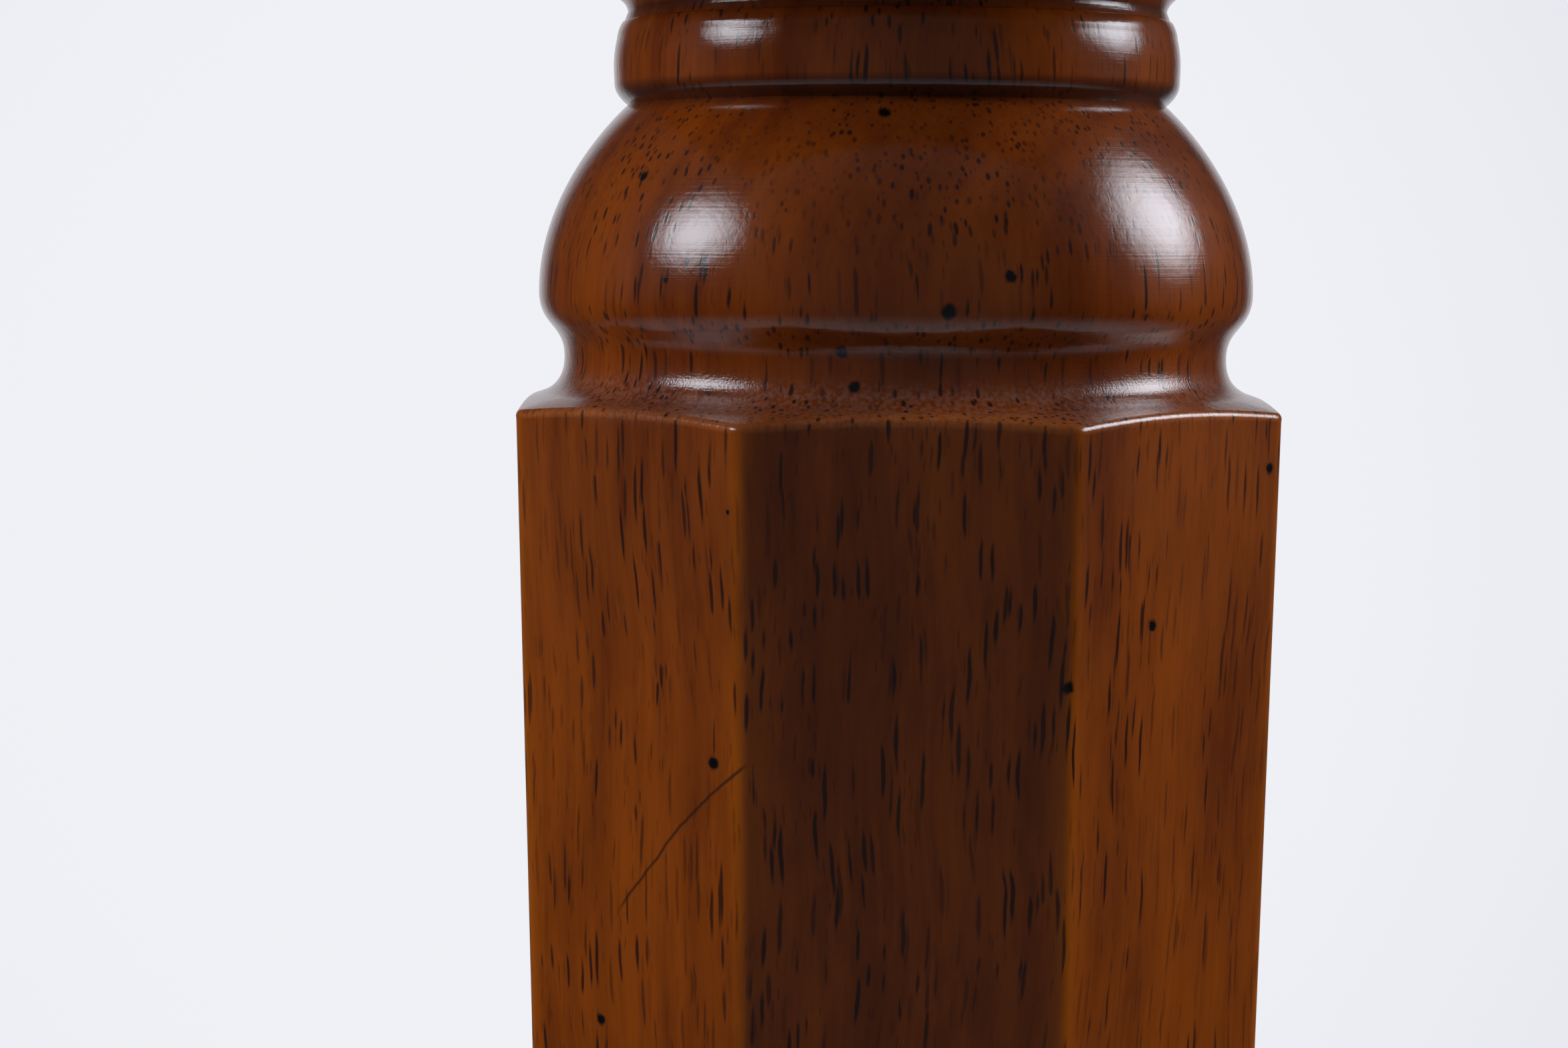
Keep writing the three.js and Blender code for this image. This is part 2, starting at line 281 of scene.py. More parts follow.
def block_radius(angles):
    """Distance from the axis to the square block, with the flat across its inner corner."""
    square = polygon_radius(angles, HALF_BLANK, 4, BLOCK_ROUNDING)
    turn = np.cos(angles - math.pi / 4)
    flat = np.where(turn > 0.5, CORNER_FLAT / np.maximum(turn, 0.5), 2 * CORNER_FLAT)
    return soft_min(square, flat, 0.35)


def on_foot(place):
    """A point of the foot's outline, as (radius, height above the floor)."""
    depth, drop = place
    return (HALF_ANKLE - depth, ANKLE_SHOULDER - drop)


def on_neck(place):
    """A point of the neck's outline, as (radius, height above the floor)."""
    depth, height = place
    return (HALF_BLANK - depth, HEAD_SHOULDER + height)


def bore_outline():
    """The blind bore in the toe, from its end down to the toe's face."""
    insert_low, insert_high = (c.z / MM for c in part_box("foot_insert"))
    stud_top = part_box("levelling_stud")[1].z / MM
    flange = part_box("foot_insert")[1].x / MM
    return [
        (0, stud_top + STUD_BORE_EXTRA),
        (STUD_BORE, stud_top + STUD_BORE_EXTRA),
        (STUD_BORE, insert_high + GAP),
        (INSERT_BORE, insert_high + GAP),
        (INSERT_BORE, insert_low + FLANGE_SEAT),
        (flange + GAP, insert_low + FLANGE_SEAT),
        (flange + GAP, WOOD_BOTTOM),
    ]


def foot_outline():
    """From the toe's face up to where the ankle's shoulder begins."""
    toe = (TOE_RADIUS, WOOD_BOTTOM + TOE_CHAMFER)
    swell, groove, bead, ankle = (on_foot(p) for p in (SWELL, FOOT_GROOVE, FOOT_BEAD, ANKLE))
    end = on_foot(COVE_END)
    points = [(TOE_RADIUS - TOE_CHAMFER, WOOD_BOTTOM)]
    points += curve(points[-1], (toe[0] - 0.4, WOOD_BOTTOM), (toe[0], toe[1] - 0.6), toe, 4)
    points += curve(toe, (toe[0] + 0.8, toe[1] + 15), (swell[0], swell[1] - 13), swell, 16)
    points += curve(swell, (swell[0], swell[1] + 5), (groove[0] + 1.6, groove[1] - 1.5), groove, 12)
    points += curve(groove, (groove[0] + 1, groove[1]), (bead[0], bead[1] - 1.6), bead, 8)
    points += curve(bead, (bead[0], bead[1] + 1.6), (ankle[0] + 1, ankle[1]), ankle, 8)
    points += curve(ankle, (ankle[0], ankle[1] + 2.4), (ankle[0] + 0.9, end[1] - 0.5), end, 10)
    return points


def neck_outline():
    """From the octagon's shoulder up to where the block's shoulder begins."""
    start = (HALF_BLANK, HEAD_SHOULDER)
    places = (NECK, BULB, LOWER_GROOVE, BEAD_LOW, BEAD_HIGH, QUIRK, UPPER_GROOVE, FLARE)
    neck, bulb, groove, low, high, quirk, top_groove, flare = (on_neck(p) for p in places)
    points = curve(start, (start[0] - 2.3, start[1] + 0.6), (neck[0], neck[1] - 2.4), neck, 16)
    points += curve(neck, (neck[0], neck[1] + 3), (bulb[0], bulb[1] - 3.3), bulb, 18)
    points += curve(bulb, (bulb[0], bulb[1] + 8.3), (groove[0] + 2.75, groove[1] - 2.5), groove, 30)
    points += curve(groove, (groove[0] + 0.7, groove[1] + 0.6), (low[0], low[1] - 0.9), low, 10)
    crest = (high[0] + 0.05, high[1] - 1.3)
    cove = (high[0] - 0.25, high[1] + 1.2)
    points += curve(low, (low[0] + 0.03, low[1] + 0.8), (crest[0], crest[1] - 0.6), crest, 5)
    points += curve(crest, (crest[0], crest[1] + 1), (cove[0] + 0.15, cove[1] - 0.6), cove, 8)
    points += curve(cove, (cove[0] - 0.03, cove[1] + 0.5), (quirk[0] + 0.25, quirk[1] - 0.3), quirk, 8)
    points += [(quirk[0] - 0.15, quirk[1]), top_groove]
    handles = ((top_groove[0] + 0.15, top_groove[1] + 1.3), (flare[0] - 3.3, flare[1] - 0.9))
    points += curve(top_groove, *handles, flare, 10)
    return points


def post_rings(angles):
    """All the rings of the post, and for each one how turned it is, how much edge wear it has, and how much
    painted shade darkens it.
    """
    ones = np.ones(len(angles))
    rings, kinds = [], []

    def add(new_rings, turned_part, worn_and_highlit, groove_shade=0.0):
        for ring in new_rings:
            rings.append(ring)
            kinds.append((turned_part, worn_and_highlit, groove_shade))

    low_face = polygon_radius(angles, HALF_ANKLE, 8, ARRIS * HALF_ANKLE)
    high_face = polygon_radius(angles, HALF_BLANK, 8, ARRIS * HALF_BLANK)
    square = block_radius(angles)

    add(level_rings(angles, bore_outline()), 1, 0)
    foot = foot_outline()
    add(level_rings(angles, foot), 1, 0)

    # the ankle's shoulder, out to the octagon
    low_edge = foot[-1][1] + (low_face - foot[-1][0]) * SLOPE
    high_edge = HEAD_SHOULDER - (high_face - HALF_BLANK) * SLOPE
    inner = (ones * foot[-1][0], ones * foot[-1][1])
    add(fillet(inner, (low_face, low_edge), (low_face + 0.001, low_edge + 10), EDGE, 6), 0.5, 1)

    # the shaft, with its rings gathered at the two ends
    shares = (1 - np.cos(np.linspace(0, math.pi, 42))) / 2
    for share in shares:
        z = (low_edge + EDGE * 1.15) * (1 - share) + (high_edge - EDGE * 1.15) * share
        along = (z - ANKLE_SHOULDER) / (HEAD_SHOULDER - ANKLE_SHOULDER)
        width = HALF_ANKLE + (HALF_BLANK - HALF_ANKLE) * np.clip(along, 0, 1)
        face = width / HALF_BLANK * high_face
        add([(face, z)], 0, 0)

    # the head's shoulder, in to the cove: the outline's first points lie inside the rounding
    neck = neck_outline()
    neck = [p for p in neck if p[0] < HALF_BLANK - 1.2 or p[1] > HEAD_SHOULDER + 3]
    inner = (ones * neck[0][0], ones * neck[0][1])
    add(fillet((high_face - 0.02, high_edge - 10), (high_face, high_edge), inner, EDGE, 6), 0.5, 1)
    for r, z in neck:
        # painted shade darkens the two grooves
        height = z - HEAD_SHOULDER
        near = min(abs(height - LOWER_GROOVE[1] - 0.7) / 1.4, abs(height - UPPER_GROOVE[1] + 0.3) / 0.8)
        add(level_rings(angles, [(r, z)]), 1, 0, max(0.0, 1 - near**2))

    # the block's shoulder and the block
    flare = neck[-1]
    block_edge = flare[1] + (square - flare[0]) * SLOPE
    inner = (ones * flare[0], ones * flare[1])
    add(fillet(inner, (square, block_edge), (square, block_edge + 10), EDGE, 6), 0.5, 1)
    top = LEG_TOP - TOP_EDGE * 1.2
    for share in np.linspace(0, 1, 14)[1:]:
        add([(square, (block_edge + EDGE * 1.2) * (1 - share) + top * share)], 0, 0)
    corner, inner = (square, ones * LEG_TOP), (square - 5, ones * LEG_TOP)
    add(fillet((square, ones * top), corner, inner, TOP_EDGE, 6), 0, 1)
    for share in (0.85, 0.6, 0.3):
        add([(square * share, ones * LEG_TOP)], 0, 0)
    add([(ones * 0, ones * LEG_TOP)], 0, 0)
    return rings, kinds


def make_post():
    """The post, marked with how turned it is, where its edges have wear, where its arrises get painted
    highlight and where painted shade darkens its grooves, and bored for the bolts.
    """
    angles = post_angles()
    rings, kinds = post_rings(angles)
    post = ring_mesh("turned_wooden_leg", angles, rings)
    # painted highlight: the shaft's arrises are painted lighter, as where they catch the light; the rounded
    # edges of the shoulders and of the block's top have edge wear
    from_arris = (angles % (math.pi / 4)) - math.pi / 8
    arris_highlight = np.exp(-((from_arris / math.radians(1.3)) ** 2))
    turned_part, worn_and_highlit, groove_shade = [], [], []
    for (r, z), (is_turned, is_rubbed, is_groove_shaded) in zip(rings, kinds):
        count = 1 if np.max(r) == 0 else len(angles)
        turned_part += [is_turned] * count
        groove_shade += [is_groove_shaded] * count
        on_shaft = is_turned == 0 and np.max(z) < HEAD_SHOULDER
        columns = arris_highlight if on_shaft else np.zeros(len(angles))
        worn_and_highlit += list(np.maximum(columns, is_rubbed))[:count]
    for name, values in (("turned_part", turned_part), ("worn_and_highlit", worn_and_highlit), ("groove_shade", groove_shade)):
        layer = post.data.attributes.new(name, "FLOAT", "POINT")
        layer.data.foreach_set("value", np.array(values, float))
    for end in ("upper", "lower"):
        bolt = f"hanger_bolt_{end}"
        tip = along_corner(bolt)[0]
        bore(post, BOLT_BORE, tip - PILOT_EXTRA, OVERRUN, corner_place(bolt))
    post.data.set_sharp_from_angle(angle=math.radians(60))
    return post


# ---- Materials ----


def node(tree, kind, inputs=None, **settings):
    """A new shader node. Each input is a value, or the socket that feeds it."""
    made = tree.nodes.new(kind)
    for key, value in settings.items():
        setattr(made, key, value)
    for key, value in (inputs or {}).items():
        if isinstance(value, bpy.types.NodeSocket):
            tree.links.new(value, made.inputs[key])
        else:
            made.inputs[key].default_value = value
    return made


def calc(tree, operation, a, b=0.0, clamp=False):
    inputs = {0: a} if operation == "ABSOLUTE" else {0: a, 1: b}
    return node(tree, "ShaderNodeMath", inputs, operation=operation, use_clamp=clamp).outputs[0]


def vector(tree, operation, a, b=(0, 0, 0)):
    made = node(tree, "ShaderNodeVectorMath", {0: a, 1: b}, operation=operation)
    return made.outputs["Value" if operation in ("DISTANCE", "LENGTH", "DOT_PRODUCT") else "Vector"]


def ramp(tree, value, low, high, out_low=0.0, out_high=1.0):
    """A smooth step from low to high."""
    inputs = {"Value": value, "From Min": low, "From Max": high, "To Min": out_low, "To Max": out_high}
    return node(tree, "ShaderNodeMapRange", inputs, interpolation_type="SMOOTHSTEP").outputs["Result"]


def mix(tree, share, a, b):
    """A blend of two colours. Sockets 0, 6 and 7 are the share and the colours, and 2 the result."""
    inputs = {0: share}
    for key, colour in ((6, a), (7, b)):
        inputs[key] = colour if isinstance(colour, bpy.types.NodeSocket) else (*colour, 1)
    return node(tree, "ShaderNodeMix", inputs, data_type="RGBA").outputs[2]


def noise(tree, place, scale=1.0, detail=2.0, roughness=0.5):
    inputs = {"Vector": place, "Scale": scale, "Detail": detail, "Roughness": roughness}
    return node(tree, "ShaderNodeTexNoise", inputs)


def axis(tree, place, name):
    return node(tree, "ShaderNodeSeparateXYZ", {"Vector": place}).outputs[name]


def bump(tree, height):
    """A surface relief, from its height in millimetres."""
    return node(tree, "ShaderNodeBump", {"Height": height, "Distance": MM}).outputs[0]


def millimetres(tree):
    """The object's own coordinates, in millimetres."""
    place = node(tree, "ShaderNodeTexCoord").outputs["Object"]
    return vector(tree, "MULTIPLY", place, (1000, 1000, 1000))


def new_material(name):
    material = bpy.data.materials.new(name)
    material.use_nodes = True
    shader = material.node_tree.nodes["Principled BSDF"]
    return material, material.node_tree, shader


def join(tree, shader, **sockets):
    for key, socket in sockets.items():
        tree.links.new(socket, shader.inputs[key.replace("_", " ")])


def pore_layer(tree, place, width, stretch, cell, seed):
    """Dark vessels: long thin streaks along Z where they are cut along, dots where cut across."""
    squeeze = (1 / cell, 1 / cell, 1 / (cell * stretch))
    spot = vector(tree, "ADD", vector(tree, "MULTIPLY", place, squeeze), seed)
    cells = node(tree, "ShaderNodeTexVoronoi", {"Vector": spot, "Scale": 1.0})
    reach = width / 2 / cell
    depth = ramp(tree, cells.outputs["Distance"], reach * 0.55, reach * 1.05, 1, 0)
    strength = node(tree, "ShaderNodeSeparateColor", {"Color": cells.outputs["Color"]}).outputs[0]
    return calc(tree, "MULTIPLY", depth, ramp(tree, strength, 0.05, 0.5, 0.25, 1))


# Specks of the finish near the head: direction in degrees, height above the shoulder, radius
SPATTER = [
    (-94, 26, 0.65),
    (-138, 20.5, 0.6),
    (-75, 12, 0.65),
    (-128, 11.5, 0.45),
    (-84, 9, 0.75),
    (-100, 5.5, 0.65),
    (-98, 2.5, 0.65),
    (-126, 0, 0.5),
    (-25, -5.5, 0.65),
    (-114, -8, 0.4),
    (-51, -18.5, 0.65),
    (-68, -23, 0.65),
    (-117, -30, 0.7),
    (-142, -55.5, 0.65),
]


def outside(direction, height):
    """A point on the leg's surface near the head, from its direction and height."""
    angle = math.radians(direction)
    if height > 0:
        outline = neck_outline()
        radius = np.interp(HEAD_SHOULDER + height, [p[1] for p in outline], [p[0] for p in outline])
    else:
        along = (HEAD_SHOULDER + height - ANKLE_SHOULDER) / (HEAD_SHOULDER - ANKLE_SHOULDER)
        width = HALF_ANKLE + (HALF_BLANK - HALF_ANKLE) * along
        radius = polygon_radius(np.array([angle]), width, 8, ARRIS * width)[0]
    return (radius * math.cos(angle), radius * math.sin(angle), HEAD_SHOULDER + height)


def spatter(tree, place):
    """The dark specks of a spattered finish: some listed near the head, and scattered ones."""
    ragged = noise(tree, place, 1.6).outputs["Fac"]
    total = None
    for direction, height, size in SPATTER:
        away = vector(tree, "DISTANCE", place, outside(direction, height))
        away = calc(tree, "ADD", away, calc(tree, "MULTIPLY", ragged, 0.5))
        speck = ramp(tree, away, size * 0.9, size * 1.5, 1, 0)
        total = speck if total is None else calc(tree, "MAXIMUM", total, speck)
    cells = node(tree, "ShaderNodeTexVoronoi", {"Vector": place, "Scale": 1 / 13})
    away = calc(tree, "ADD", cells.outputs["Distance"], calc(tree, "MULTIPLY", ragged, 0.04))
    scattered = ramp(tree, away, 0.045, 0.075, 1, 0)
    off_head = calc(tree, "ABSOLUTE", calc(tree, "SUBTRACT", axis(tree, place, "Z"), HEAD_SHOULDER))
    scattered = calc(tree, "MULTIPLY", scattered, ramp(tree, off_head, 45, 60))
    return calc(tree, "MAXIMUM", total, scattered)


# The long curved stroke of glaze: part of a circle
STROKE_CENTRE = (15.0, -63.4, HEAD_SHOULDER - 89.4)
STROKE_RADIUS = 72.4
STROKE_END = -13.7  # the stroke stays left of this X
STROKE_LOW = HEAD_SHOULDER - 44.7  # and above this height


def cow_tail(tree, place):
    """One thin curved stroke of glaze on the left face of the octagon, running out to its arris."""
    wander = calc(tree, "MULTIPLY", noise(tree, place, 0.25, 2).outputs["Fac"], 0.8)
    away = calc(tree, "ADD", vector(tree, "DISTANCE", place, STROKE_CENTRE), wander)
    off_circle = calc(tree, "ABSOLUTE", calc(tree, "SUBTRACT", away, STROKE_RADIUS))
    line = ramp(tree, off_circle, 0.06, 0.2, 0.75, 0)
    beside = ramp(tree, axis(tree, place, "X"), STROKE_END - 0.5, STROKE_END + 0.5, 1, 0)
    above = ramp(tree, axis(tree, place, "Z"), STROKE_LOW - 1.8, STROKE_LOW + 1.7)
    return calc(tree, "MULTIPLY", line, calc(tree, "MULTIPLY", beside, above))


def wood_material():
    """Open-pored hardwood under a red-brown stain and clear gloss lacquer."""
    material, tree, shader = new_material("lacquered_wood")
    place = millimetres(tree)
    is_turned, worn_and_highlit, groove_shade = (
        node(tree, "ShaderNodeAttribute", attribute_name=name).outputs["Fac"]
        for name in ("turned_part", "worn_and_highlit", "groove_shade")
    )

    # the grain leans and wavers slowly along the leg
    slow = noise(tree, vector(tree, "MULTIPLY", place, (0.012, 0.012, 0.017)), detail=1).outputs["Color"]
    lean = vector(tree, "MULTIPLY", vector(tree, "SUBTRACT", slow, (0.5, 0.5, 0.5)), (11, 11, 0))
    fine = noise(tree, vector(tree, "MULTIPLY", place, (0.2, 0.2, 0.16)), detail=2).outputs["Color"]
    waver = vector(tree, "MULTIPLY", vector(tree, "SUBTRACT", fine, (0.5, 0.5, 0.5)), (0.9, 0.9, 0))
    grain = vector(tree, "ADD", place, vector(tree, "ADD", lean, waver))

    # vessels, thicker in some bands than in others
    crowd = noise(tree, vector(tree, "MULTIPLY", grain, (0.11, 0.11, 0.012)), detail=2).outputs["Fac"]
    crowded = ramp(tree, crowd, 0.38, 0.56, 0.45, 1)
    large = pore_layer(tree, grain, 0.5, 13, 0.74, (0.3, 0.7, 0.1))
    middle = pore_layer(tree, grain, 0.4, 20, 0.9, (5.1, 3.3, 2.7))
    small = pore_layer(tree, grain, 0.24, 10, 0.55, (9.2, 1.4, 7.7))
    small = calc(tree, "MULTIPLY", small, 0.45)
    pores = calc(tree, "MAXIMUM", calc(tree, "MAXIMUM", large, middle), small)
    pores = calc(tree, "MULTIPLY", pores, crowded, clamp=True)

    height = axis(tree, place, "Z")
    off_shoulder = calc(tree, "ABSOLUTE", calc(tree, "SUBTRACT", height, HEAD_SHOULDER + 1.0))

    # colour: growth rings, clouds of stain and fine fibre
    pith = vector(tree, "MULTIPLY", vector(tree, "SUBTRACT", grain, (-70, 45, 0)), (1, 1, 0))
    radius = vector(tree, "LENGTH", pith)
    rings = noise(tree, node(tree, "ShaderNodeCombineXYZ", {"X": radius}).outputs[0], 0.32, 3, 0.6)
    clouds = noise(tree, vector(tree, "MULTIPLY", grain, (0.085, 0.085, 0.024)), 1, 4, 0.6)
    fibre = noise(tree, vector(tree, "MULTIPLY", grain, (1.5, 1.5, 0.07)), 1, 4, 0.7)
    tone = calc(tree, "MULTIPLY", calc(tree, "SUBTRACT", rings.outputs["Fac"], 0.5), 0.7)
    tone = calc(tree, "ADD", tone, calc(tree, "MULTIPLY", clouds.outputs["Fac"], 1.3))
    tone = calc(tree, "ADD", tone, calc(tree, "MULTIPLY", fibre.outputs["Fac"], 0.35))
    tone = ramp(tree, tone, 0.36, 1.24)
    colour = mix(tree, tone, (0.088, 0.014, 0.0013), (0.285, 0.059, 0.0022))
    colour = mix(tree, calc(tree, "MULTIPLY", is_turned, 0.2), colour, (0.2, 0.03, 0.0015))
    # lighter orange from edge wear on the rounded edges, and painted highlight along the shaft's arrises
    wear_and_highlight = calc(tree, "MULTIPLY", worn_and_highlit, ramp(tree, clouds.outputs["Fac"], 0.3, 0.65, 0.35, 0.8))
    colour = mix(tree, wear_and_highlight, colour, (0.36, 0.085, 0.003))
    # painted sheen: pale grey mixed into the colour along the head's shoulder stands in for a grey
    # reflection there
    sheen_grain = ramp(tree, noise(tree, place, 2.4, 3).outputs["Fac"], 0.35, 0.65)
    painted_sheen = calc(tree, "MULTIPLY", ramp(tree, off_shoulder, 0.4, 2.6, 0.16, 0), sheen_grain)
    colour = mix(tree, painted_sheen, colour, (0.42, 0.31, 0.27))
    # painted shade: near-black brown mixed into the two grooves
    colour = mix(tree, calc(tree, "MULTIPLY", groove_shade, 0.75), colour, (0.018, 0.006, 0.004))
    colour = mix(tree, calc(tree, "MULTIPLY", pores, 0.92), colour, (0.017, 0.0055, 0.004))
    colour = mix(tree, cow_tail(tree, place), colour, (0.02, 0.008, 0.004))
    colour = mix(tree, spatter(tree, place), colour, (0.002, 0.002, 0.003))

    # the lacquer follows the vessels a little, with turning marks on the turned parts
    lathe = noise(tree, node(tree, "ShaderNodeCombineXYZ", {"Z": height}).outputs[0], 3.2, 3, 0.7)
    lathe = calc(tree, "MULTIPLY", calc(tree, "MULTIPLY", lathe.outputs["Fac"], is_turned), 0.014)
    peel = calc(tree, "MULTIPLY", noise(tree, place, 0.9, 2).outputs["Fac"], 0.02)
    nibs = ramp(tree, off_shoulder, 2.5, 7, 0.022, 0.004)
    grit = calc(tree, "MULTIPLY", noise(tree, place, 4.5, 2).outputs["Fac"], nibs)
    relief = calc(tree, "ADD", calc(tree, "ADD", lathe, peel), grit)
    relief = calc(tree, "SUBTRACT", relief, calc(tree, "MULTIPLY", pores, 0.004))
    normal = bump(tree, relief)
    smear = noise(tree, place, 0.12, 3).outputs["Fac"]
    roughness = ramp(tree, smear, 0.3, 0.7, 0.34, 0.46)
    join(tree, shader, Base_Color=colour, Roughness=roughness, Normal=normal, Coat_Normal=normal)
    shader.inputs["Specular IOR Level"].default_value = 0.07
    shader.inputs["Coat Weight"].default_value = 1.0
    shader.inputs["Coat Roughness"].default_value = 0.09
    shader.inputs["Coat IOR"].default_value = 1.5
    return material


def zinc_material():
    """Bright zinc plate on steel: faint bluish bloom, fine scratches and dull patches."""
    material, tree, shader = new_material("zinc_plated_steel")
    place = millimetres(tree)
    bloom = noise(tree, place, 0.35, 3).outputs["Fac"]
    colour = mix(tree, ramp(tree, bloom, 0.35, 0.7), (0.60, 0.61, 0.60), (0.70, 0.68, 0.62))
    scratches = noise(tree, vector(tree, "MULTIPLY", place, (6, 1.2, 6)), 1, 3).outputs["Fac"]
    grains = noise(tree, place, 9, 2).outputs["Fac"]
    roughness = ramp(tree, calc(tree, "ADD", bloom, scratches), 0.7, 1.3, 0.22, 0.42)
    relief = calc(tree, "MULTIPLY", scratches, 0.01)
    relief = calc(tree, "ADD", relief, calc(tree, "MULTIPLY", grains, 0.006))
    join(tree, shader, Base_Color=colour, Roughness=roughness, Normal=bump(tree, relief))
    shader.inputs["Metallic"].default_value = 1.0
    return material


def nylon_material():
    """Moulded dark brown nylon with a fine eroded texture and scuffs."""
    material, tree, shader = new_material("glide_plastic")
    place = millimetres(tree)
    eroded = noise(tree, place, 4, 3).outputs["Fac"]
    scuffs = noise(tree, vector(tree, "MULTIPLY", place, (0.4, 0.4, 2.5)), 1, 4).outputs["Fac"]
    colour = mix(tree, ramp(tree, scuffs, 0.45, 0.75), (0.012, 0.009, 0.007), (0.035, 0.028, 0.022))
    roughness = ramp(tree, scuffs, 0.3, 0.7, 0.42, 0.6)
    relief = calc(tree, "MULTIPLY", eroded, 0.03)
    join(tree, shader, Base_Color=colour, Roughness=roughness, Normal=bump(tree, relief))
    return material


def felt_material():
    """Pressed wool felt: matted fibres of several browns."""
    material, tree, shader = new_material("wool_felt")
    place = millimetres(tree)
    tangle = noise(tree, place, 2.2, 4, 0.7)
    bent = vector(tree, "ADD", place, vector(tree, "MULTIPLY", tangle.outputs["Color"], (1.5, 1.5, 1.5)))
    fibres = noise(tree, vector(tree, "MULTIPLY", bent, (5, 1.1, 3)), 1, 3, 0.7).outputs["Fac"]
    colour = mix(tree, ramp(tree, fibres, 0.35, 0.65), (0.035, 0.022, 0.014), (0.13, 0.09, 0.06))
    join(tree, shader, Base_Color=colour, Normal=bump(tree, calc(tree, "MULTIPLY", fibres, 0.25)))
    shader.inputs["Roughness"].default_value = 0.95
    shader.inputs["Sheen Weight"].default_value = 0.4
    shader.inputs["Sheen Roughness"].default_value = 0.5
    return material


def finish_piece(piece, body, slot, material, *replaced):
    """Gives a piece its material and its body, and hides the CAD nodes that it stands in for."""
    piece.data.materials.clear()
    piece.data.materials.append(material)
    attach(piece, body)
    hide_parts(*replaced)


# ---- Hardware ----

THREAD_PITCH = 1.25
THREAD_DEPTH = 0.68
WOOD_PITCH = 3.0
WOOD_DEPTH = 1.0
WOOD_RADIUS = 3.6  # of the hanger bolts' wood screw, over its thread
WOOD_TIP = 7  # length over which the wood screw tapers to its point

# The wing nut: radius of its hub at the base and at the top, and the hub's height
HUB_BASE = 7.35
HUB_TOP = 5.9
HUB_HEIGHT = 9.0
WING_THICKNESS = 2.5
VOXEL = 0.34  # of the mesh that melts hub and wings together

# The threaded insert
KEY_APOTHEM = 5.0  # half across flats of its hexagon socket
SOCKET_DEPTH = 5.0
INSERT_OUTER = 6.3  # over its outside thread
INSERT_OUTER_DEPTH = 0.8
INSERT_INNER = 4.4  # of its bore

# The levelling stud
STUD_RADIUS = 4.0
RIVET_RADIUS = 4.6
STUD_NECK = 3.0
COLLAR_HEIGHT = 4

# The glide's base and its felt
NECK_HOLE = 3.3  # radius of the hole for the stud's neck
RIVET_HOLE = 4.9
RIVET_DROP = 2.2  # depth of the hole for the riveted head
FELT_CLEAR = 0.15  # that the felt's outline stays inside its greatest radius
FELT_RAGGED = 0.1  # unevenness of the felt's rim


def threaded_rings(angles, radius, low, high, pitch, depth, rows_per_turn=8):
    """Rings of a V thread between two heights, faded out over a turn at each end.

    The groove has small flats at its root and at its crests.
    """
    rows = max(2, int((high - low) / pitch * rows_per_turn))
    rings = []
    for z in np.linspace(low, high, rows):
        phase = (z / pitch - angles / (2 * math.pi)) % 1
        groove = np.clip(1.15 - 2.6 * np.abs(phase - 0.5), 0, 1)
        fade = min(1, (z - low) / pitch, (high - z) / pitch)
        rings.append((radius - depth * fade * groove, np.full(len(angles), z)))
    return rings


def make_bolt(end):
    """A hanger bolt: a pointed wood screw, a short plain collar and a machine thread."""
    name = f"hanger_bolt_{end}"
    low, high = along_corner(name)
    radius = (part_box(name)[1].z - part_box(name)[0].z) / 2 / MM
    angles = even_angles(40)
    rings = level_rings(angles, [(0, low), (0.4, low + 0.8)])
    for r, z in threaded_rings(angles, WOOD_RADIUS, low + 0.8, -4.5, WOOD_PITCH, WOOD_DEPTH, 10):
        taper = np.clip((z - low) / WOOD_TIP, 0.08, 1)
        rings.append((r * taper, z))
    rings += level_rings(angles, [(radius - 0.25, -4.2), (radius - 0.05, -3.6), (radius - 0.05, 0.5)])
    rings += threaded_rings(angles, radius - 0.02, 0.8, high - 0.8, THREAD_PITCH, THREAD_DEPTH)
    rings += level_rings(angles, [(radius - 0.4, high - 0.4), (radius - 0.8, high)])
    rings += level_rings(angles, [(1.5, high), (0, high)])
    return ring_mesh(name + "_threaded", angles, rings, placed=corner_place(name))


def make_washer(end):
    name = f"bolt_washer_{end}"
    low, high = along_corner(name)
    radius = (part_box(name)[1].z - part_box(name)[0].z) / 2 / MM
    outline = [(BOLT_BORE, low), (radius, low), (radius, high), (BOLT_BORE, high)]
    outline = rounded(outline, 0.35, closed=True)
    return turned(name + "_disc", outline, 72, loop=True, placed=corner_place(name))


def wing_outline(tip, rise):
    """One wing of the nut as points of (radius, height), with its root inside the hub."""
    root = HUB_TOP - 2.5
    points = [(root, 1.2), (HUB_BASE - 0.6, 1.0)]
    points += curve(points[-1], (tip * 0.6, 3), (tip, rise * 0.35), (tip, rise * 0.75), 8)
    points += curve(points[-1], (tip, rise), (tip * 0.7, rise * 1.06), (tip * 0.62, rise * 0.85), 8)
    points += curve(points[-1], (tip * 0.52, rise * 0.6), (HUB_TOP, HUB_HEIGHT), (root, HUB_HEIGHT - 0.5), 8)
    return points


